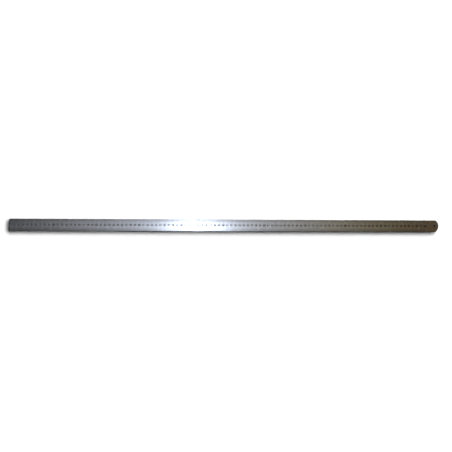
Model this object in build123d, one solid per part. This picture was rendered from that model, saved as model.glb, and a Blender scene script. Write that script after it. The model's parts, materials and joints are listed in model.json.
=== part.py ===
"""One-metre steel rule: a spring-steel strip with a black enamel scale baked on along both edges.

The origin is on the zero datum, at the underside and on the centre line, so X reads the scale directly.
+X runs along the rule to the hanging hole, +Y to its upper edge, and +Z out of the graduated face.
"""

from build123d import *

import os

# --- The strip -------------------------------------------------------------------------------------------
SCALE_LENGTH = 1000.0  # from the zero end to the last graduation
OVERALL_LENGTH = 1035.0  # the blank tail past the scale carries the hanging hole
WIDTH = 28.0
THICKNESS = 1.0
TAIL_RADIUS = 18.0  # the shallow arc that closes the tail
TAIL_CORNER_RADIUS = 2.0  # where that arc runs into the long edges
HOLE_DIAMETER = 6.0
HOLE_FROM_TIP = 9.0  # from the tip of the tail to the hole's centre
EDGE_BREAK = 0.1  # the arrises are taken off all round, top and bottom

# --- The scale, an enamel film that lies on the face -----------------------------------------------------
FILM = 0.02
EDGE_LAND = 0.15  # bright steel left between a line's outer end and the edge of the strip
MILLIMETRE = 1.0
MILLIMETRES_IN_CENTIMETRE = 10
LINE_WIDTH = 0.26
CENTIMETRE_LINE_WIDTH = 0.32
MILLIMETRE_LINE = 5.0  # line lengths, inwards from the land
HALF_CENTIMETRE_LINE = 7.2
CENTIMETRE_LINE = 9.2

# --- The figures -----------------------------------------------------------------------------------------
FIGURE_HEIGHT = 4.5
FIGURE_STROKE = 0.92
DECADE_FIGURE_HEIGHT = 5.1  # 10, 20, 30 ... 100 are larger and bolder
DECADE_FIGURE_STROKE = 1.05
FIGURE_WIDTH_SHARE = 0.56  # a figure's width over its height
FIGURE_GAP_SHARE = 0.10  # the gap between two figures over their height

# How the pen moves in a figure: places are shares of its half width or half height, angles are in degrees
ONE_FLAG_X = -0.6
ONE_FLAG_Y = 0.55
ONE_STEM_X = 0.2
TWO_START = 165
TWO_TURN = -205
WAIST_Y = 0.04  # where the two bowls of 3 and 8 meet, and where the bowl of 6 closes
THREE_TERMINAL = 160
FOUR_BAR_Y = -0.5
FOUR_STEM_X = 0.72
FIVE_BOWL_TOP_Y = 0.2
FIVE_RIGHT_X = 0.85
FIVE_LEFT_X = -0.75
FIVE_START = 140
FIVE_END = -140
SIX_START = 180
SIX_TURN = -145
SEVEN_FOOT_X = -0.4

HALF_WIDTH = WIDTH / 2
LINE_OUTER_END = HALF_WIDTH - EDGE_LAND
CENTIMETRES = round(SCALE_LENGTH / (MILLIMETRE * MILLIMETRES_IN_CENTIMETRE))
DECADE = 10  # centimetres from one large figure to the next


# --- Figures, drawn as the strokes of a round-nosed pen --------------------------------------------------
def pen(path, stroke):
    """The area that the pen covers along an open path."""
    return Sketch() + Face(Wire(path.edges()).offset_2d(stroke / 2, kind=Kind.ARC, side=Side.BOTH))


def pen_ring(across, along, stroke):
    """The area that the pen covers round a closed loop with round ends, centred on the origin."""
    if along > across:
        outer = SlotOverall(along + stroke, across + stroke, rotation=90)
        return outer - SlotOverall(along - stroke, across - stroke, rotation=90)
    return Circle((across + stroke) / 2) - Circle((across - stroke) / 2)


def arc(centre_y, radius, start, sweep):
    """An arc about a point on the figure's middle line; a negative sweep runs clockwise."""
    return CenterArc((0, centre_y), radius, start, sweep)


def right_bowl(upper_y, lower_y, radius, start, end):
    """The open bowl of 3 and 5: over the top from the start angle, down a straight flank, and under."""
    over = arc(upper_y - radius, radius, start, -start)
    under = arc(lower_y + radius, radius, 0, end)
    return over + Line(over @ 1, under @ 0) + under


def draw_figure(digit, height, stroke):
    """One figure, centred on the origin, within the given height and its share of width."""
    side = (height * FIGURE_WIDTH_SHARE - stroke) / 2  # from the middle line to the pen's outermost path
    top = (height - stroke) / 2
    upper_bowl_y = top - side
    waist = WAIST_Y * top
    lower_ring = Pos(0, (waist - top) / 2) * pen_ring(2 * side, waist + top, stroke)

    if digit == 0:
        return pen_ring(2 * side, 2 * top, stroke)
    if digit == 1:
        stem_x = ONE_STEM_X * side
        return pen(Polyline((ONE_FLAG_X * side, ONE_FLAG_Y * top), (stem_x, top), (stem_x, -top)), stroke)
    if digit == 2:
        bowl = arc(upper_bowl_y, side, TWO_START, TWO_TURN)
        return pen(bowl + Polyline(bowl @ 1, (-side, -top), (side, -top)), stroke)
    if digit == 3:
        upper = right_bowl(top, waist, side, THREE_TERMINAL, -90)
        lower = right_bowl(waist, -top, side, 90, -THREE_TERMINAL)
        return pen(upper, stroke) + pen(lower, stroke)
    if digit == 4:
        bar_y = FOUR_BAR_Y * top
        stem = Line((FOUR_STEM_X * side, top), (FOUR_STEM_X * side, -top))
        return pen(Polyline(stem @ 0, (-side, bar_y), (side, bar_y)), stroke) + pen(stem, stroke)
    if digit == 5:
        bowl = right_bowl(FIVE_BOWL_TOP_Y * top, -top, side, FIVE_START, FIVE_END)
        neck = Polyline((FIVE_RIGHT_X * side, top), (FIVE_LEFT_X * side, top), bowl @ 0)
        return pen(neck, stroke) + pen(bowl, stroke)
    if digit == 7:
        return pen(Polyline((-side, top), (side, top), (SEVEN_FOOT_X * side, -top)), stroke)
    if digit == 8:
        return lower_ring + Pos(0, (top + waist) / 2) * pen_ring(2 * side, top - waist, stroke)
    hook = arc(upper_bowl_y, side, SIX_START, SIX_TURN)
    six = lower_ring + pen(Line((-side, (waist - top) / 2), hook @ 0) + hook, stroke)
    return six if digit == 6 else Rot(0, 0, 180) * six


def film(sketch):
    """Enamel of the sketch's outline, lying on the face of the strip."""
    return Pos(0, 0, THICKNESS) * extrude(sketch, FILM)


def type_set(height, stroke):
    return [film(draw_figure(digit, height, stroke)) for digit in range(10)]


def number(reading, types, height):
    """The figures of one number, centred on its centimetre line."""
    digits = [int(character) for character in str(reading)]
    pitch = height * (FIGURE_WIDTH_SHARE + FIGURE_GAP_SHARE)
    first = reading * MILLIMETRES_IN_CENTIMETRE * MILLIMETRE - pitch * (len(digits) - 1) / 2
    return [Pos(first + pitch * place, 0, 0) * types[digit] for place, digit in enumerate(digits)]


# --- Graduations -----------------------------------------------------------------------------------------
def graduations(edge, readings, length, width):
    """One enamel line at each reading; edge is +1 for the upper edge and -1 for the lower."""
    line = film(Rectangle(width, length))
    middle_y = edge * (LINE_OUTER_END - length / 2)
    return [Pos(reading * MILLIMETRE, middle_y, 0) * line for reading in readings]


def readings_of_kind():
    """The millimetre readings, sorted by the length of the line that marks them."""
    every = range(1, CENTIMETRES * MILLIMETRES_IN_CENTIMETRE + 1)
    half = MILLIMETRES_IN_CENTIMETRE // 2
    centimetres = [mm for mm in every if mm % MILLIMETRES_IN_CENTIMETRE == 0]
    halves = [mm for mm in every if mm % MILLIMETRES_IN_CENTIMETRE == half]
    return [mm for mm in every if mm % half], halves, centimetres


# --- The strip -------------------------------------------------------------------------------------------
def blank_outline():
    """Square at the zero end, closed by a shallow arc with eased corners at the tail."""
    straight = OVERALL_LENGTH - TAIL_RADIUS
    body = Pos(straight / 2, 0) * Rectangle(straight, WIDTH)
    end = Pos(straight + TAIL_RADIUS / 2, 0) * Rectangle(TAIL_RADIUS, WIDTH)
    outline = body + (end & Pos(straight, 0) * Circle(TAIL_RADIUS))
    past_straight = {"minimum": straight, "maximum": OVERALL_LENGTH, "inclusive": (False, False)}
    corners = outline.vertices().filter_by_position(Axis.X, **past_straight)
    return fillet(corners, TAIL_CORNER_RADIUS)


def blade():
    hole = Pos(OVERALL_LENGTH - HOLE_FROM_TIP, 0) * Circle(HOLE_DIAMETER / 2)
    strip = extrude(blank_outline() - hole, THICKNESS)
    wide_faces = strip.faces().sort_by(Axis.Z)
    return chamfer(wide_faces[0].edges() + wide_faces[-1].edges(), EDGE_BREAK)


def main():
    os.makedirs("parts", exist_ok=True)
    nodes = {"blade": [blade()]}

    millimetres, halves, centimetres = readings_of_kind()
    for name, edge in (("upper", 1), ("lower", -1)):
        nodes[f"{name}_millimetre_lines"] = graduations(edge, millimetres, MILLIMETRE_LINE, LINE_WIDTH)
        nodes[f"{name}_half_centimetre_lines"] = graduations(edge, halves, HALF_CENTIMETRE_LINE, LINE_WIDTH)
        nodes[f"{name}_centimetre_lines"] = graduations(
            edge, centimetres, CENTIMETRE_LINE, CENTIMETRE_LINE_WIDTH
        )

    types = type_set(FIGURE_HEIGHT, FIGURE_STROKE)
    for start in range(0, CENTIMETRES, DECADE):
        readings = range(start + 1, start + DECADE)
        solids = [solid for reading in readings for solid in number(reading, types, FIGURE_HEIGHT)]
        nodes[f"figures_{start + 1:02d}_to_{start + DECADE - 1:02d}"] = solids

    types = type_set(DECADE_FIGURE_HEIGHT, DECADE_FIGURE_STROKE)
    decades = range(DECADE, CENTIMETRES + 1, DECADE)
    nodes["decade_figures"] = [
        solid for reading in decades for solid in number(reading, types, DECADE_FIGURE_HEIGHT)
    ]

    for name, solids in nodes.items():
        export_step(Compound(children=solids), f"parts/{name}.step", write_pcurves=False)
        print(f"{name}: {len(solids)} solids")


main()
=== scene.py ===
# %% [markdown]
# # A one-metre steel rule
#
# A steel rule is a single strip of spring steel. It has no moving part and nothing is fastened to it,
# so everything that makes it look real is in two places: the ground steel surface, which throws a
# bright, stretched highlight, and the black enamel scale on it. The CAD model gives the exact strip,
# lines and figures. Here the strip gets a finer mesh, and every surface gets the finish of the real
# thing.
#
# The CAD model is loaded first, as a frame that nothing below moves. Lengths are in metres, and X reads
# the scale: x = 0 is the square zero end.

# %% Load the frame
import json
import math

import bmesh
import bpy
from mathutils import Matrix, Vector


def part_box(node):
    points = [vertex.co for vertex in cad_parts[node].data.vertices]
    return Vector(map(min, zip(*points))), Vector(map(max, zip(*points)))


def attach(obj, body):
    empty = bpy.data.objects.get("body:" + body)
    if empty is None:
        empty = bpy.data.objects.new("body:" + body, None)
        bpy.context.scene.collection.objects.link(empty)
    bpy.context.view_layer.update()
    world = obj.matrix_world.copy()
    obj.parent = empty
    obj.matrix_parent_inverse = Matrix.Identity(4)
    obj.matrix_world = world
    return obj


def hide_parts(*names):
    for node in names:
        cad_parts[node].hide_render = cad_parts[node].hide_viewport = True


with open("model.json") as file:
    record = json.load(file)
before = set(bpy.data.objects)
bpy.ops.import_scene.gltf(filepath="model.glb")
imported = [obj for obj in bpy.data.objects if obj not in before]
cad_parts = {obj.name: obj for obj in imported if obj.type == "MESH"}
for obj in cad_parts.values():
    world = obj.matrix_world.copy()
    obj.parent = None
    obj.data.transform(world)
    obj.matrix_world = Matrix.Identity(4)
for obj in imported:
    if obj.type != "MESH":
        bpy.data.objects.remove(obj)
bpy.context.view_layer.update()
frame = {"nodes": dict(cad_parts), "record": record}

MM = 0.001
scene = bpy.context.scene
print("nodes:", sorted(frame["nodes"]))

# %% [markdown]
# ## Reading sizes from the frame
#
# Sizes could be typed in again, but then they could drift away from the CAD model. The strip's length,
# width and thickness come from the box of its own node instead, and the hole comes from the mount that
# describes it in the record. Only the tail's two radii are repeated, because no box can tell them.

# %% Measure the strip
_, blade_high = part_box("blade")
LENGTH = blade_high.x
HALF_WIDTH = blade_high.y
THICKNESS = blade_high.z
mounts = {mount["name"]: mount for mount in frame["record"]["mounts"]}
HOLE = Vector(mounts["hanging_hole"]["pos_m"])
HOLE_RADIUS = mounts["hanging_hole"]["dims"]["r_mm"] * MM
TAIL_RADIUS = 18 * MM
TAIL_CORNER = 2 * MM
print(f"strip {LENGTH:.3f} x {2 * HALF_WIDTH:.3f} x {THICKNESS:.4f} m, hole radius {HOLE_RADIUS:.4f} m")

# %% [markdown]
# ## The camera
#
# A rule is shown best from straight above, because a slanted view would squeeze its scale. The camera
# hangs over the strip a little nearer to the zero end than the middle, and turns slightly towards the
# tail. A camera looks along its own -Z, so with no rotation it already looks straight down with +Y at
# the top of the picture.

# %% Hang the camera
CAMERA_HEIGHT = 1.083
CAMERA_X = 0.440
SENSOR = 36.0
FOCAL_SHARE = 450 / 452  # focal length over the picture's width

camera_data = bpy.data.cameras.new("overhead_camera")
camera_data.sensor_width = SENSOR
camera_data.lens = SENSOR * FOCAL_SHARE
camera = bpy.data.objects.new("overhead_camera", camera_data)
camera.location = (CAMERA_X, 0.0, CAMERA_HEIGHT)
camera.rotation_euler = (math.radians(-0.105), math.radians(-3.55), math.radians(0.22))
scene.collection.objects.link(camera)
scene.camera = camera
print("lens", round(camera_data.lens, 2), "mm")

# %% [markdown]
# ## The strip's outline
#
# The real strip is sheared from a coil, its zero end is ground square, and its tail is rounded on a
# press tool: one wide arc with a small easing where it meets each long edge. The strip is the same on
# both sides of its centre line, so only the upper half is drawn, and a Mirror modifier makes the other.
# Round stretches are worked out with sine and cosine. A point list for them would only hide the radii.


# %% Work out the upper half of the outline
TAIL_STEPS = 20
CORNER_STEPS = 8
HOLE_STEPS = 32


def arc_points(centre, radius, start, end, steps):
    """Points on an arc, both ends included; the angles are in radians."""
    turns = [start + (end - start) * step / steps for step in range(steps + 1)]
    return [Vector((centre.x + radius * math.cos(a), centre.y + radius * math.sin(a), 0)) for a in turns]


tail_centre = Vector((LENGTH - TAIL_RADIUS, 0, 0))
corner_reach = TAIL_RADIUS - TAIL_CORNER
corner_y = HALF_WIDTH - TAIL_CORNER
corner_x = tail_centre.x + math.sqrt(corner_reach**2 - corner_y**2)
corner_centre = Vector((corner_x, corner_y, 0))
tangent_angle = math.atan2(corner_y, corner_x - tail_centre.x)

tail_arc = arc_points(tail_centre, TAIL_RADIUS, 0, tangent_angle, TAIL_STEPS)
corner_arc = arc_points(corner_centre, TAIL_CORNER, tangent_angle, math.pi / 2, CORNER_STEPS)
hole_arc = arc_points(HOLE, HOLE_RADIUS, math.pi, 0, HOLE_STEPS)
print("tail outline points:", len(tail_arc) + len(corner_arc) + len(hole_arc))

# %% [markdown]
# ## The strip as a cage
#
# One long face would do, but a strip a metre long and a few millimetres wide makes needle-shaped
# triangles, and those can show as fine lines in a reflection. So the straight part is a row of plain
# quads, one every two centimetres, and the part round the hole is a single face that goes round its
# outline. The stack then does the work: Mirror makes the lower half, Solidify the gauge of the steel,
# and Bevel takes the arrises off. Hardened normals keep the wide faces perfectly flat beside the small
# bevels.
#
# The steel has a direction: it is ground lengthwise. A UV map laid straight along the strip records it,
# in metres, and the material reads its highlight's direction from there.

# %% Build the strip
STATION = 20 * MM
EDGE_BREAK = 0.1 * MM

straight_end = STATION * math.floor((HOLE.x - HOLE_RADIUS) / STATION)
stations = [STATION * k for k in range(round(straight_end / STATION) + 1)]

cage = bmesh.new()
centre_row = [cage.verts.new((x, 0, 0)) for x in stations]
edge_row = [cage.verts.new((x, HALF_WIDTH, 0)) for x in stations]
for k in range(len(stations) - 1):
    cage.faces.new((centre_row[k], centre_row[k + 1], edge_row[k + 1], edge_row[k]))
around_hole = [cage.verts.new(point) for point in hole_arc]
around_tail = [cage.verts.new(point) for point in tail_arc + corner_arc[1:]]
cage.faces.new([centre_row[-1], *around_hole, *around_tail, edge_row[-1]])

along = cage.loops.layers.uv.new("along_strip")
for face in cage.faces:
    for loop in face.loops:
        loop[along].uv = (loop.vert.co.x, loop.vert.co.y)
    face.smooth = True
blade_mesh = bpy.data.meshes.new("blade_steel")
cage.to_mesh(blade_mesh)
cage.free()
blade = bpy.data.objects.new("blade_steel", blade_mesh)
scene.collection.objects.link(blade)
print("cage faces:", len(blade_mesh.polygons))

# %% Finish the strip with modifiers
mirror = blade.modifiers.new("lower_half", "MIRROR")
mirror.use_axis = (False, True, False)
mirror.use_clip = True
mirror.merge_threshold = 0.01 * MM

gauge = blade.modifiers.new("gauge", "SOLIDIFY")
gauge.thickness = THICKNESS
gauge.offset = 1.0
gauge.use_even_offset = False
gauge.material_offset_rim = 1

arris = blade.modifiers.new("arris", "BEVEL")
arris.width = EDGE_BREAK
arris.segments = 2
arris.limit_method = "ANGLE"
arris.angle_limit = math.radians(40)
arris.harden_normals = True

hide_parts("blade")
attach(blade, "root")
print("strip:", [m.name for m in blade.modifiers])

# %% [markdown]
# ## Ground steel
#
# The face of a rule is ground and lapped along its length. What the eye reads as steel is not its grey
# but how it reflects: thousands of parallel scratches spread a highlight across them and keep it short
# along them. An anisotropic metal does that in one setting. On it come five effects, each in a frame of
# its own in the node tree:
#
# - grain: noise squeezed to hair-fine streaks along X, which varies the roughness and the bump;
# - rolling: broad, soft streaks left by the mill, which make the reflection uneven;
# - scratches: sparse marks at a slant, from years of scribing against it;
# - handling: cloudy patches of skin oil and faint brown spotting where a drop of water dried;
# - wear: the long arrises and the rim of the hole are rubbed bright.


# %% Make the steel material
WEAR_WIDTH = 0.35 * MM  # how far in from an arris the steel is rubbed


def ground_steel(name, grey, roughness, anisotropy, grain_depth):
    """Steel ground along X; anisotropy is how much the marks stretch its highlight."""
    material = bpy.data.materials.new(name)
    material.use_nodes = True
    tree = material.node_tree
    tree.nodes.clear()
    nodes, links = tree.nodes, tree.links

    output = nodes.new("ShaderNodeOutputMaterial")
    output.location = (1500, 0)
    output.label = "Steel surface"
    shader = nodes.new("ShaderNodeBsdfPrincipled")
    shader.location = (1200, 0)
    shader.label = "Ground steel"
    shader.inputs["Metallic"].default_value = 1.0
    shader.inputs["Anisotropic"].default_value = anisotropy
    links.new(shader.outputs["BSDF"], output.inputs["Surface"])

    place = nodes.new("ShaderNodeTexCoord")
    place.location = (-1700, 0)
    place.label = "Place on the strip"

    # Grain: hair lines along X
    grain_frame = nodes.new("NodeFrame")
    grain_frame.label = "Grinding grain"
    grain_scale = nodes.new("ShaderNodeMapping")
    grain_scale.parent = grain_frame
    grain_scale.location = (-1400, 500)
    grain_scale.label = "Squeeze noise to hair lines"
    grain_scale.inputs["Scale"].default_value = (40, 5200, 5200)
    grain = nodes.new("ShaderNodeTexNoise")
    grain.parent = grain_frame
    grain.location = (-1180, 500)
    grain.label = "Hair lines"
    grain.inputs["Scale"].default_value = 1.0
    grain.inputs["Detail"].default_value = 3.0
    links.new(place.outputs["Object"], grain_scale.inputs["Vector"])
    links.new(grain_scale.outputs["Vector"], grain.inputs["Vector"])

    # Rolling: broad soft streaks
    rolling_frame = nodes.new("NodeFrame")
    rolling_frame.label = "Rolling streaks"
    rolling_scale = nodes.new("ShaderNodeMapping")
    rolling_scale.parent = rolling_frame
    rolling_scale.location = (-1400, 150)
    rolling_scale.label = "Stretch noise along the strip"
    rolling_scale.inputs["Scale"].default_value = (22, 240, 240)
    rolling = nodes.new("ShaderNodeTexNoise")
    rolling.parent = rolling_frame
    rolling.location = (-1180, 150)
    rolling.label = "Mill streaks"
    rolling.inputs["Scale"].default_value = 1.0
    rolling.inputs["Detail"].default_value = 4.0
    rolling.inputs["Roughness"].default_value = 0.55
    links.new(place.outputs["Object"], rolling_scale.inputs["Vector"])
    links.new(rolling_scale.outputs["Vector"], rolling.inputs["Vector"])

    # Scratches: thin cells at a slant, kept only where a second noise allows
    scratch_frame = nodes.new("NodeFrame")
    scratch_frame.label = "Scribing scratches"
    scratch_scale = nodes.new("ShaderNodeMapping")
    scratch_scale.parent = scratch_frame
    scratch_scale.location = (-1400, -250)
    scratch_scale.label = "Slant and stretch"
    scratch_scale.inputs["Rotation"].default_value = (0, 0, math.radians(24))
    scratch_scale.inputs["Scale"].default_value = (60, 900, 900)
    scratches = nodes.new("ShaderNodeTexVoronoi")
    scratches.parent = scratch_frame
    scratches.location = (-1180, -250)
    scratches.label = "Long thin cells"
    scratches.feature = "DISTANCE_TO_EDGE"
    scratches.inputs["Scale"].default_value = 1.0
    scratch_line = nodes.new("ShaderNodeMapRange")
    scratch_line.parent = scratch_frame
    scratch_line.location = (-960, -250)
    scratch_line.label = "Only the cell borders"
    scratch_line.inputs["From Max"].default_value = 0.03
    scratch_line.inputs["To Min"].default_value = 1.0
    scratch_line.inputs["To Max"].default_value = 0.0
    scratch_patch = nodes.new("ShaderNodeTexNoise")
    scratch_patch.parent = scratch_frame
    scratch_patch.location = (-1180, -520)
    scratch_patch.label = "Where it was scribed on"
    scratch_patch.inputs["Scale"].default_value = 90.0
    scratch_keep = nodes.new("ShaderNodeMapRange")
    scratch_keep.parent = scratch_frame
    scratch_keep.location = (-960, -520)
    scratch_keep.label = "Keep few patches"
    scratch_keep.inputs["From Min"].default_value = 0.56
    scratch_keep.inputs["From Max"].default_value = 0.66
    scratch_mask = nodes.new("ShaderNodeMath")
    scratch_mask.parent = scratch_frame
    scratch_mask.location = (-740, -350)
    scratch_mask.label = "Scratches"
    scratch_mask.operation = "MULTIPLY"
    links.new(place.outputs["Object"], scratch_scale.inputs["Vector"])
    links.new(scratch_scale.outputs["Vector"], scratches.inputs["Vector"])
    links.new(scratches.outputs["Distance"], scratch_line.inputs["Value"])
    links.new(place.outputs["Object"], scratch_patch.inputs["Vector"])
    links.new(scratch_patch.outputs["Fac"], scratch_keep.inputs["Value"])
    links.new(scratch_line.outputs["Result"], scratch_mask.inputs[0])
    links.new(scratch_keep.outputs["Result"], scratch_mask.inputs[1])

    # Handling: oil clouds and dried spots
    handling_frame = nodes.new("NodeFrame")
    handling_frame.label = "Handling film and spots"
    clouds = nodes.new("ShaderNodeTexNoise")
    clouds.parent = handling_frame
    clouds.location = (-1180, -800)
    clouds.label = "Skin oil clouds"
    clouds.inputs["Scale"].default_value = 38.0
    clouds.inputs["Detail"].default_value = 5.0
    cloud_amount = nodes.new("ShaderNodeMapRange")
    cloud_amount.parent = handling_frame
    cloud_amount.location = (-960, -800)
    cloud_amount.label = "How oily"
    cloud_amount.inputs["From Min"].default_value = 0.42
    cloud_amount.inputs["From Max"].default_value = 0.72
    spots = nodes.new("ShaderNodeTexNoise")
    spots.parent = handling_frame
    spots.location = (-1180, -1080)
    spots.label = "Dried drops"
    spots.inputs["Scale"].default_value = 260.0
    spots.inputs["Detail"].default_value = 2.0
    spot_amount = nodes.new("ShaderNodeMapRange")
    spot_amount.parent = handling_frame
    spot_amount.location = (-960, -1080)
    spot_amount.label = "Only the strongest"
    spot_amount.inputs["From Min"].default_value = 0.70
    spot_amount.inputs["From Max"].default_value = 0.80
    links.new(place.outputs["Object"], clouds.inputs["Vector"])
    links.new(clouds.outputs["Fac"], cloud_amount.inputs["Value"])
    links.new(place.outputs["Object"], spots.inputs["Vector"])
    links.new(spots.outputs["Fac"], spot_amount.inputs["Value"])

    # Wear: the outermost fraction of a millimetre is rubbed bright, along the edges and round the hole
    wear_frame = nodes.new("NodeFrame")
    wear_frame.label = "Wear on the arrises"
    across = nodes.new("ShaderNodeSeparateXYZ")
    across.parent = wear_frame
    across.location = (-1400, 850)
    across.label = "Place across the strip"
    from_middle = nodes.new("ShaderNodeMath")
    from_middle.parent = wear_frame
    from_middle.location = (-1180, 850)
    from_middle.label = "Distance from the middle"
    from_middle.operation = "ABSOLUTE"
    wear = nodes.new("ShaderNodeMapRange")
    wear.parent = wear_frame
    wear.location = (-960, 850)
    wear.label = "Rubbed along the edges"
    wear.interpolation_type = "SMOOTHSTEP"
    wear.inputs["From Min"].default_value = HALF_WIDTH - WEAR_WIDTH
    wear.inputs["From Max"].default_value = HALF_WIDTH
    from_hole = nodes.new("ShaderNodeVectorMath")
    from_hole.parent = wear_frame
    from_hole.location = (-1180, 1050)
    from_hole.label = "Distance from the hole"
    from_hole.operation = "DISTANCE"
    from_hole.inputs[1].default_value = (HOLE.x, HOLE.y, THICKNESS)
    rim_wear = nodes.new("ShaderNodeMapRange")
    rim_wear.parent = wear_frame
    rim_wear.location = (-960, 1130)
    rim_wear.label = "Rubbed round the hole"
    rim_wear.interpolation_type = "SMOOTHSTEP"
    rim_wear.inputs["From Min"].default_value = HOLE_RADIUS
    rim_wear.inputs["From Max"].default_value = HOLE_RADIUS + WEAR_WIDTH
    rim_wear.inputs["To Min"].default_value = 1.0
    rim_wear.inputs["To Max"].default_value = 0.0
    all_wear = nodes.new("ShaderNodeMath")
    all_wear.parent = wear_frame
    all_wear.location = (-740, 950)
    all_wear.label = "All rubbed places"
    all_wear.operation = "MAXIMUM"
    links.new(place.outputs["Object"], across.inputs["Vector"])
    links.new(across.outputs["Y"], from_middle.inputs[0])
    links.new(from_middle.outputs["Value"], wear.inputs["Value"])
    links.new(place.outputs["Object"], from_hole.inputs[0])
    links.new(from_hole.outputs["Value"], rim_wear.inputs["Value"])
    links.new(wear.outputs["Result"], all_wear.inputs[0])
    links.new(rim_wear.outputs["Result"], all_wear.inputs[1])

    # Colour: streaks, then film, spots and wear over them
    colour_frame = nodes.new("NodeFrame")
    colour_frame.label = "Colour"
    streak_colour = nodes.new("ShaderNodeValToRGB")
    streak_colour.parent = colour_frame
    streak_colour.location = (-500, 300)
    streak_colour.label = "Steel, dark to bright streak"
    streak_colour.color_ramp.elements[0].position = 0.25
    streak_colour.color_ramp.elements[0].color = (grey * 0.93, grey * 0.935, grey * 0.94, 1)
    streak_colour.color_ramp.elements[1].position = 0.75
    streak_colour.color_ramp.elements[1].color = (grey * 1.04, grey * 1.04, grey * 1.035, 1)
    film = nodes.new("ShaderNodeMix")
    film.parent = colour_frame
    film.location = (-180, 300)
    film.label = "Oil film dulls it"
    film.data_type = "RGBA"
    film.inputs["B"].default_value = (grey * 0.80, grey * 0.78, grey * 0.72, 1)
    film_share = nodes.new("ShaderNodeMath")
    film_share.parent = colour_frame
    film_share.location = (-500, 60)
    film_share.label = "A thin film"
    film_share.operation = "MULTIPLY"
    film_share.inputs[1].default_value = 0.2
    stain = nodes.new("ShaderNodeMix")
    stain.parent = colour_frame
    stain.location = (100, 300)
    stain.label = "Brown spotting"
    stain.data_type = "RGBA"
    stain.inputs["B"].default_value = (0.22, 0.16, 0.11, 1)
    bright = nodes.new("ShaderNodeMix")
    bright.parent = colour_frame
    bright.location = (380, 300)
    bright.label = "Bright arris"
    bright.data_type = "RGBA"
    bright.inputs["B"].default_value = (0.78, 0.78, 0.77, 1)
    links.new(rolling.outputs["Fac"], streak_colour.inputs["Fac"])
    links.new(cloud_amount.outputs["Result"], film_share.inputs[0])
    links.new(film_share.outputs["Value"], film.inputs["Factor"])
    links.new(streak_colour.outputs["Color"], film.inputs["A"])
    links.new(film.outputs["Result"], stain.inputs["A"])
    links.new(spot_amount.outputs["Result"], stain.inputs["Factor"])
    links.new(stain.outputs["Result"], bright.inputs["A"])
    links.new(all_wear.outputs["Value"], bright.inputs["Factor"])
    links.new(bright.outputs["Result"], shader.inputs["Base Color"])

    # Roughness: grain, oil and scratches
    rough_frame = nodes.new("NodeFrame")
    rough_frame.label = "Roughness"
    grain_rough = nodes.new("ShaderNodeMapRange")
    grain_rough.parent = rough_frame
    grain_rough.location = (-500, -150)
    grain_rough.label = "Grain roughness"
    grain_rough.inputs["From Min"].default_value = 0.3
    grain_rough.inputs["From Max"].default_value = 0.7
    grain_rough.inputs["To Min"].default_value = roughness * 0.85
    grain_rough.inputs["To Max"].default_value = roughness * 1.15
    oil_rough = nodes.new("ShaderNodeMath")
    oil_rough.parent = rough_frame
    oil_rough.location = (-180, -150)
    oil_rough.label = "Oil roughens the gloss"
    oil_rough.operation = "MULTIPLY_ADD"
    oil_rough.inputs[1].default_value = 0.04
    scratch_rough = nodes.new("ShaderNodeMath")
    scratch_rough.parent = rough_frame
    scratch_rough.location = (100, -150)
    scratch_rough.label = "Scratches scatter light"
    scratch_rough.operation = "MULTIPLY_ADD"
    scratch_rough.inputs[1].default_value = 0.15
    links.new(grain.outputs["Fac"], grain_rough.inputs["Value"])
    links.new(cloud_amount.outputs["Result"], oil_rough.inputs[0])
    links.new(grain_rough.outputs["Result"], oil_rough.inputs[2])
    links.new(scratch_mask.outputs["Value"], scratch_rough.inputs[0])
    links.new(oil_rough.outputs["Value"], scratch_rough.inputs[2])
    links.new(scratch_rough.outputs["Value"], shader.inputs["Roughness"])

    # Relief: the strip's slow waves, its grain, and the scratches cut into it
    relief_frame = nodes.new("NodeFrame")
    relief_frame.label = "Relief"
    wave = nodes.new("ShaderNodeBump")
    wave.parent = relief_frame
    wave.location = (-180, -550)
    wave.label = "Mill waves"
    wave.inputs["Strength"].default_value = 1.0
    wave.inputs["Distance"].default_value = 0.008 * MM
    hair = nodes.new("ShaderNodeBump")
    hair.parent = relief_frame
    hair.location = (100, -550)
    hair.label = "Hair line relief"
    hair.inputs["Strength"].default_value = 1.0
    hair.inputs["Distance"].default_value = grain_depth
    cut = nodes.new("ShaderNodeBump")
    cut.parent = relief_frame
    cut.location = (380, -550)
    cut.label = "Scratches cut in"
    cut.invert = True
    cut.inputs["Strength"].default_value = 0.6
    cut.inputs["Distance"].default_value = 0.01 * MM
    links.new(rolling.outputs["Fac"], wave.inputs["Height"])
    links.new(grain.outputs["Fac"], hair.inputs["Height"])
    links.new(wave.outputs["Normal"], hair.inputs["Normal"])
    links.new(scratch_mask.outputs["Value"], cut.inputs["Height"])
    links.new(hair.outputs["Normal"], cut.inputs["Normal"])
    links.new(cut.outputs["Normal"], shader.inputs["Normal"])

    if anisotropy:
        direction = nodes.new("ShaderNodeTangent")
        direction.location = (900, -350)
        direction.label = "Along the strip"
        direction.direction_type = "UV_MAP"
        direction.uv_map = "along_strip"
        links.new(direction.outputs["Tangent"], shader.inputs["Tangent"])
    return material


face_steel = ground_steel(
    "spring_steel_face", grey=0.60, roughness=0.212, anisotropy=0.45, grain_depth=0.0008 * MM
)
edge_steel = ground_steel(
    "spring_steel_edge", grey=0.52, roughness=0.36, anisotropy=0.0, grain_depth=0.002 * MM
)
blade.data.materials.append(face_steel)
blade.data.materials.append(edge_steel)
print("steel nodes:", len(face_steel.node_tree.nodes))

# %% [markdown]
# ## Black enamel
#
# The lines and figures are baked enamel, a hard black paint a few hundredths of a millimetre thick. The
# CAD solids already have its exact shape, so they stay, and only get its finish. Fresh enamel is glossy
# and deep black. In use it is rubbed thin, most of all near the two edges where tools slide along, and
# there the steel greys it. Lines and figures are one make of paint, so both come from one function.


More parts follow.
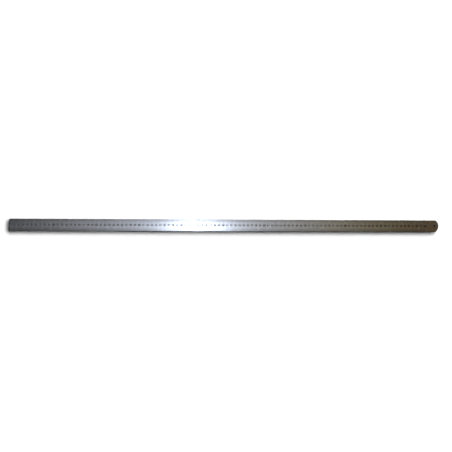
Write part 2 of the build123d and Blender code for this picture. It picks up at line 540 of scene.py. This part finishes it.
# %% Make the enamel materials
def baked_enamel(name, black, roughness, rubbed):
    """Black enamel; rubbed is how much steel shows through it at the strip's edges, from 0 to 1."""
    material = bpy.data.materials.new(name)
    material.use_nodes = True
    tree = material.node_tree
    tree.nodes.clear()
    nodes, links = tree.nodes, tree.links

    output = nodes.new("ShaderNodeOutputMaterial")
    output.location = (1100, 0)
    output.label = "Enamel surface"
    shader = nodes.new("ShaderNodeBsdfPrincipled")
    shader.location = (800, 0)
    shader.label = "Baked enamel"
    shader.inputs["IOR"].default_value = 1.5
    links.new(shader.outputs["BSDF"], output.inputs["Surface"])

    place = nodes.new("ShaderNodeTexCoord")
    place.location = (-1300, 0)
    place.label = "Place on the strip"

    # Pigment: uneven black
    pigment_frame = nodes.new("NodeFrame")
    pigment_frame.label = "Pigment"
    pigment = nodes.new("ShaderNodeTexNoise")
    pigment.parent = pigment_frame
    pigment.location = (-800, 300)
    pigment.label = "Paint thickness"
    pigment.inputs["Scale"].default_value = 700.0
    pigment.inputs["Detail"].default_value = 4.0
    shade = nodes.new("ShaderNodeValToRGB")
    shade.parent = pigment_frame
    shade.location = (-500, 300)
    shade.label = "Thick to thin black"
    shade.color_ramp.elements[0].position = 0.3
    shade.color_ramp.elements[0].color = (black, black, black * 1.05, 1)
    shade.color_ramp.elements[1].position = 0.8
    shade.color_ramp.elements[1].color = (black * 3, black * 3, black * 3.2, 1)
    links.new(place.outputs["Object"], pigment.inputs["Vector"])
    links.new(pigment.outputs["Fac"], shade.inputs["Fac"])

    # Rubbing: speckles of steel, thicker towards the edges
    rub_frame = nodes.new("NodeFrame")
    rub_frame.label = "Rubbed paint"
    across = nodes.new("ShaderNodeSeparateXYZ")
    across.parent = rub_frame
    across.location = (-1050, -100)
    across.label = "Place across the strip"
    from_middle = nodes.new("ShaderNodeMath")
    from_middle.parent = rub_frame
    from_middle.location = (-800, -100)
    from_middle.label = "Distance from the middle"
    from_middle.operation = "ABSOLUTE"
    edge_rub = nodes.new("ShaderNodeMapRange")
    edge_rub.parent = rub_frame
    edge_rub.location = (-560, -100)
    edge_rub.label = "Rubbed near the edges"
    edge_rub.inputs["From Min"].default_value = HALF_WIDTH - 4 * MM
    edge_rub.inputs["From Max"].default_value = HALF_WIDTH
    edge_rub.inputs["To Min"].default_value = 0.25 * rubbed
    edge_rub.inputs["To Max"].default_value = rubbed
    speckle = nodes.new("ShaderNodeTexNoise")
    speckle.parent = rub_frame
    speckle.location = (-800, -380)
    speckle.label = "Rubbing speckle"
    speckle.inputs["Scale"].default_value = 2600.0
    speckle.inputs["Detail"].default_value = 3.0
    bare = nodes.new("ShaderNodeMapRange")
    bare.parent = rub_frame
    bare.location = (-560, -380)
    bare.label = "Worn through"
    bare.inputs["From Min"].default_value = 0.50
    bare.inputs["From Max"].default_value = 0.62
    bare_share = nodes.new("ShaderNodeMath")
    bare_share.parent = rub_frame
    bare_share.location = (-320, -240)
    bare_share.label = "Steel that shows"
    bare_share.operation = "MULTIPLY"
    links.new(place.outputs["Object"], across.inputs["Vector"])
    links.new(across.outputs["Y"], from_middle.inputs[0])
    links.new(from_middle.outputs["Value"], edge_rub.inputs["Value"])
    links.new(place.outputs["Object"], speckle.inputs["Vector"])
    links.new(speckle.outputs["Fac"], bare.inputs["Value"])
    links.new(edge_rub.outputs["Result"], bare_share.inputs[0])
    links.new(bare.outputs["Result"], bare_share.inputs[1])

    # Finish: colour and metal follow the rubbing, and the gloss follows the paint's thickness
    finish_frame = nodes.new("NodeFrame")
    finish_frame.label = "Finish"
    worn = nodes.new("ShaderNodeMix")
    worn.parent = finish_frame
    worn.location = (200, 250)
    worn.label = "Black worn to steel"
    worn.data_type = "RGBA"
    worn.inputs["B"].default_value = (0.50, 0.50, 0.50, 1)
    gloss = nodes.new("ShaderNodeMapRange")
    gloss.parent = finish_frame
    gloss.location = (200, -50)
    gloss.label = "Uneven gloss"
    gloss.inputs["To Min"].default_value = roughness * 0.8
    gloss.inputs["To Max"].default_value = roughness * 1.3
    skin = nodes.new("ShaderNodeBump")
    skin.parent = finish_frame
    skin.location = (200, -350)
    skin.label = "Paint skin"
    skin.inputs["Strength"].default_value = 0.5
    skin.inputs["Distance"].default_value = 0.004 * MM
    links.new(shade.outputs["Color"], worn.inputs["A"])
    links.new(bare_share.outputs["Value"], worn.inputs["Factor"])
    links.new(worn.outputs["Result"], shader.inputs["Base Color"])
    links.new(bare_share.outputs["Value"], shader.inputs["Metallic"])
    links.new(pigment.outputs["Fac"], gloss.inputs["Value"])
    links.new(gloss.outputs["Result"], shader.inputs["Roughness"])
    links.new(pigment.outputs["Fac"], skin.inputs["Height"])
    links.new(skin.outputs["Normal"], shader.inputs["Normal"])
    return material


enamels = {
    "line_enamel": baked_enamel("line_enamel", black=0.004, roughness=0.42, rubbed=0.20),
    "figure_enamel": baked_enamel("figure_enamel", black=0.003, roughness=0.38, rubbed=0.06),
}
for part in frame["record"]["subparts"]:
    if part["material_slot"] in enamels:
        painted = frame["nodes"][part["node"]]
        painted.data.materials.clear()
        painted.data.materials.append(enamels[part["material_slot"]])

# %% [markdown]
# ## The table and the light
#
# Polished metal shows its surroundings, so lighting a rule is mostly choosing what it reflects. From
# above, each point of the strip mirrors one patch of sky: the middle mirrors the patch over the camera
# and the ends mirror patches further out. High overhead, the sky is therefore painted along X: bright
# to both sides of the softbox, neutral and dim over the zero end, warm and dim over the tail. Lower
# down it is a plain grey room, brighter towards the horizon, which is what the side views mirror. A
# round softbox beside the camera adds the hot spot.
#
# The soft shadow comes from five low suns, fanned out beyond the tail and the upper edge. They are so
# low that a strip only a millimetre thick throws a shadow wide enough to see. On steel they would burn
# streaks, so light linking lets them reach the table alone. The strip still blocks them, and that is
# all a shadow needs.
#
# The table is far larger than the rule, because from a low angle its end would show. It is dark, matt
# paper, and the suns are strong enough to make it white.

# %% Lay the table
TABLE_DROP = 0.05 * MM  # a hair below the strip, so that the two never share a plane
TABLE_STEPS = (-60.0, -2.0, 2.0, 60.0)  # metres from the middle of the strip, along X and along Y

table_plan = bmesh.new()
table_rows = [
    [table_plan.verts.new((LENGTH / 2 + x, y, -TABLE_DROP)) for x in TABLE_STEPS] for y in TABLE_STEPS
]
for near, far in zip(table_rows, table_rows[1:]):
    for k in range(len(TABLE_STEPS) - 1):
        table_plan.faces.new((near[k], near[k + 1], far[k + 1], far[k]))
table_mesh = bpy.data.meshes.new("table_top")
table_plan.to_mesh(table_mesh)
table_plan.free()
table = bpy.data.objects.new("table_top", table_mesh)
scene.collection.objects.link(table)
print("table:", len(table_mesh.polygons), "faces")

# %% Cover the table with paper
PAPER_GREY = 0.06
FIBRE_CONTRAST = 0.03  # how much the fibres lighten and darken it

paper = bpy.data.materials.new("backdrop_paper")
paper.use_nodes = True
paper_tree = paper.node_tree
paper_tree.nodes.clear()
paper_out = paper_tree.nodes.new("ShaderNodeOutputMaterial")
paper_out.location = (600, 0)
paper_out.label = "Paper surface"
paper_matt = paper_tree.nodes.new("ShaderNodeBsdfDiffuse")
paper_matt.location = (400, 0)
paper_matt.label = "Matt paper"
paper_place = paper_tree.nodes.new("ShaderNodeTexCoord")
paper_place.location = (-400, 0)
paper_place.label = "Place on the table"
paper_fibre = paper_tree.nodes.new("ShaderNodeTexNoise")
paper_fibre.location = (-200, 0)
paper_fibre.label = "Paper fibre"
paper_fibre.inputs["Scale"].default_value = 900.0
paper_fibre.inputs["Detail"].default_value = 3.0
paper_tone = paper_tree.nodes.new("ShaderNodeValToRGB")
paper_tone.location = (50, 0)
paper_tone.label = "Paper tone"
dark_fibre = PAPER_GREY * (1 - FIBRE_CONTRAST)
pale_fibre = PAPER_GREY * (1 + FIBRE_CONTRAST)
paper_tone.color_ramp.elements[0].color = (dark_fibre, dark_fibre, dark_fibre, 1)
paper_tone.color_ramp.elements[1].color = (pale_fibre, pale_fibre, pale_fibre, 1)
paper_tree.links.new(paper_place.outputs["Object"], paper_fibre.inputs["Vector"])
paper_tree.links.new(paper_fibre.outputs["Fac"], paper_tone.inputs["Fac"])
paper_tree.links.new(paper_tone.outputs["Color"], paper_matt.inputs["Color"])
paper_tree.links.new(paper_matt.outputs["BSDF"], paper_out.inputs["Surface"])
table_mesh.materials.append(paper)
print("paper nodes:", len(paper_tree.nodes))

# %% Start the sky
world = bpy.data.worlds.new("studio_sky")
scene.world = world
world.use_nodes = True
sky = world.node_tree
sky.nodes.clear()

sky_out = sky.nodes.new("ShaderNodeOutputWorld")
sky_out.location = (900, 0)
sky_out.label = "Sky"
sky_light = sky.nodes.new("ShaderNodeBackground")
sky_light.location = (700, 0)
sky_light.label = "Light from the sky"
sky_place = sky.nodes.new("ShaderNodeTexCoord")
sky_place.location = (-900, 0)
sky_place.label = "Direction"
sky_axes = sky.nodes.new("ShaderNodeSeparateXYZ")
sky_axes.location = (-700, 0)
sky_axes.label = "Direction by axis"
sky.links.new(sky_place.outputs["Generated"], sky_axes.inputs["Vector"])
sky.links.new(sky_light.outputs["Background"], sky_out.inputs["Surface"])
print("sky:", world.name)

# %% Paint the sky that the strip mirrors
SKY_STOPS = (  # from over the zero end to over the tail: place, then red, green and blue
    (0.08, (0.002, 0.004, 0.012)),
    (0.17, (0.109, 0.117, 0.126)),
    (0.26, (0.345, 0.354, 0.348)),
    (0.36, (0.690, 0.720, 0.840)),
    (0.50, (0.420, 0.430, 0.490)),
    (0.64, (0.612, 0.608, 0.655)),
    (0.74, (0.425, 0.412, 0.350)),
    (0.82, (0.282, 0.238, 0.125)),
    (0.90, (0.156, 0.094, 0.005)),
    (0.97, (0.056, 0.024, 0.003)),
)

strip_frame = sky.nodes.new("NodeFrame")
strip_frame.label = "Sky over the strip"
strip_place = sky.nodes.new("ShaderNodeMapRange")
strip_place.parent = strip_frame
strip_place.location = (-450, 200)
strip_place.label = "Place along the strip's sky"
strip_place.inputs["From Min"].default_value = -0.5
strip_place.inputs["From Max"].default_value = 0.5
strip_colour = sky.nodes.new("ShaderNodeValToRGB")
strip_colour.parent = strip_frame
strip_colour.location = (-200, 200)
strip_colour.label = "Neutral, bright, warm"
ramp = strip_colour.color_ramp
for stop, (position, colour) in enumerate(SKY_STOPS):
    element = ramp.elements[stop] if stop < len(ramp.elements) else ramp.elements.new(position)
    element.position = position
    element.color = (*colour, 1)
sky.links.new(sky_axes.outputs["X"], strip_place.inputs["Value"])
sky.links.new(strip_place.outputs["Result"], strip_colour.inputs["Fac"])
print("sky stops:", len(ramp.elements))

# %% Keep it to a band overhead
band_frame = sky.nodes.new("NodeFrame")
band_frame.label = "Only a band overhead"
band = sky.nodes.new("ShaderNodeMath")
band.parent = band_frame
band.location = (-450, -100)
band.label = "Distance from the strip's plane"
band.operation = "ABSOLUTE"
band_share = sky.nodes.new("ShaderNodeMapRange")
band_share.parent = band_frame
band_share.location = (-200, -100)
band_share.label = "Band as wide as a softbox"
band_share.interpolation_type = "SMOOTHSTEP"
band_share.inputs["From Min"].default_value = 0.08
band_share.inputs["From Max"].default_value = 0.30
band_share.inputs["To Min"].default_value = 1.0
band_share.inputs["To Max"].default_value = 0.0
overhead = sky.nodes.new("ShaderNodeMapRange")
overhead.parent = band_frame
overhead.location = (-200, -400)
overhead.label = "Only high overhead"
overhead.interpolation_type = "SMOOTHSTEP"
overhead.inputs["From Min"].default_value = 0.70
overhead.inputs["From Max"].default_value = 0.84
strip_share = sky.nodes.new("ShaderNodeMath")
strip_share.parent = band_frame
strip_share.location = (100, -200)
strip_share.label = "Where the strip's sky is"
strip_share.operation = "MULTIPLY"
sky.links.new(sky_axes.outputs["Y"], band.inputs[0])
sky.links.new(band.outputs["Value"], band_share.inputs["Value"])
sky.links.new(sky_axes.outputs["Z"], overhead.inputs["Value"])
sky.links.new(band_share.outputs["Result"], strip_share.inputs[0])
sky.links.new(overhead.outputs["Result"], strip_share.inputs[1])

# %% Lay it over a plain grey room
DOME_STOPS = ((0.0, 0.48), (0.45, 0.40), (0.66, 0.14), (0.80, 0.02))  # height and grey, horizon to zenith

dome = sky.nodes.new("ShaderNodeValToRGB")
dome.location = (-200, -700)
dome.label = "Room, horizon to ceiling"
ceiling = dome.color_ramp.elements
for stop, (position, grey) in enumerate(DOME_STOPS):
    element = ceiling[stop] if stop < len(ceiling) else ceiling.new(position)
    element.position = position
    element.color = (grey, grey, grey, 1)
sky_mix = sky.nodes.new("ShaderNodeMix")
sky_mix.location = (400, 0)
sky_mix.label = "Strip's sky over the room"
sky_mix.data_type = "RGBA"
sky.links.new(sky_axes.outputs["Z"], dome.inputs["Fac"])
sky.links.new(strip_share.outputs["Value"], sky_mix.inputs["Factor"])
sky.links.new(dome.outputs["Color"], sky_mix.inputs["A"])
sky.links.new(strip_colour.outputs["Color"], sky_mix.inputs["B"])
sky.links.new(sky_mix.outputs["Result"], sky_light.inputs["Color"])
print("sky nodes:", len(sky.nodes))

# %% Hang the softbox
SOFTBOX_RADIUS = 0.10
SOFTBOX_OFFSET = Vector((-0.01, -0.08, 0.02))  # from the camera

softbox_data = bpy.data.lights.new("round_softbox", "AREA")
softbox_data.shape = "DISK"
softbox_data.size = 2 * SOFTBOX_RADIUS
softbox_data.energy = 1.1
softbox_data.color = (0.74, 0.84, 1.0)
softbox = bpy.data.objects.new("round_softbox", softbox_data)
softbox.location = camera.location + SOFTBOX_OFFSET
softbox.visible_camera = False
scene.collection.objects.link(softbox)
print("softbox:", round(softbox_data.energy, 2), "W")

# %% Fan out the low suns
SUN_AZIMUTH = math.radians(42)  # the middle one, from +X towards +Y
SUN_HEIGHT = math.radians(4.6)
SUN_SIZE = math.radians(6.0)
SUN_COUNT = 5
SUN_STEP = math.radians(16)
SUN_ENERGY = 720.0  # of all of them together

table_only = bpy.data.collections.new("lit_by_low_suns")
table_only.objects.link(table)
for k in range(SUN_COUNT):
    azimuth = SUN_AZIMUTH + SUN_STEP * (k - (SUN_COUNT - 1) / 2)
    sun_data = bpy.data.lights.new(f"low_sun_{k}", "SUN")
    sun_data.energy = SUN_ENERGY / SUN_COUNT
    sun_data.angle = SUN_SIZE
    sun = bpy.data.objects.new(f"low_sun_{k}", sun_data)
    to_sun = Vector((
        math.cos(SUN_HEIGHT) * math.cos(azimuth),
        math.cos(SUN_HEIGHT) * math.sin(azimuth),
        math.sin(SUN_HEIGHT),
    ))
    sun.rotation_euler = to_sun.to_track_quat("Z", "Y").to_euler()
    sun.light_linking.receiver_collection = table_only
    scene.collection.objects.link(sun)

scene.view_settings.view_transform = "Standard"
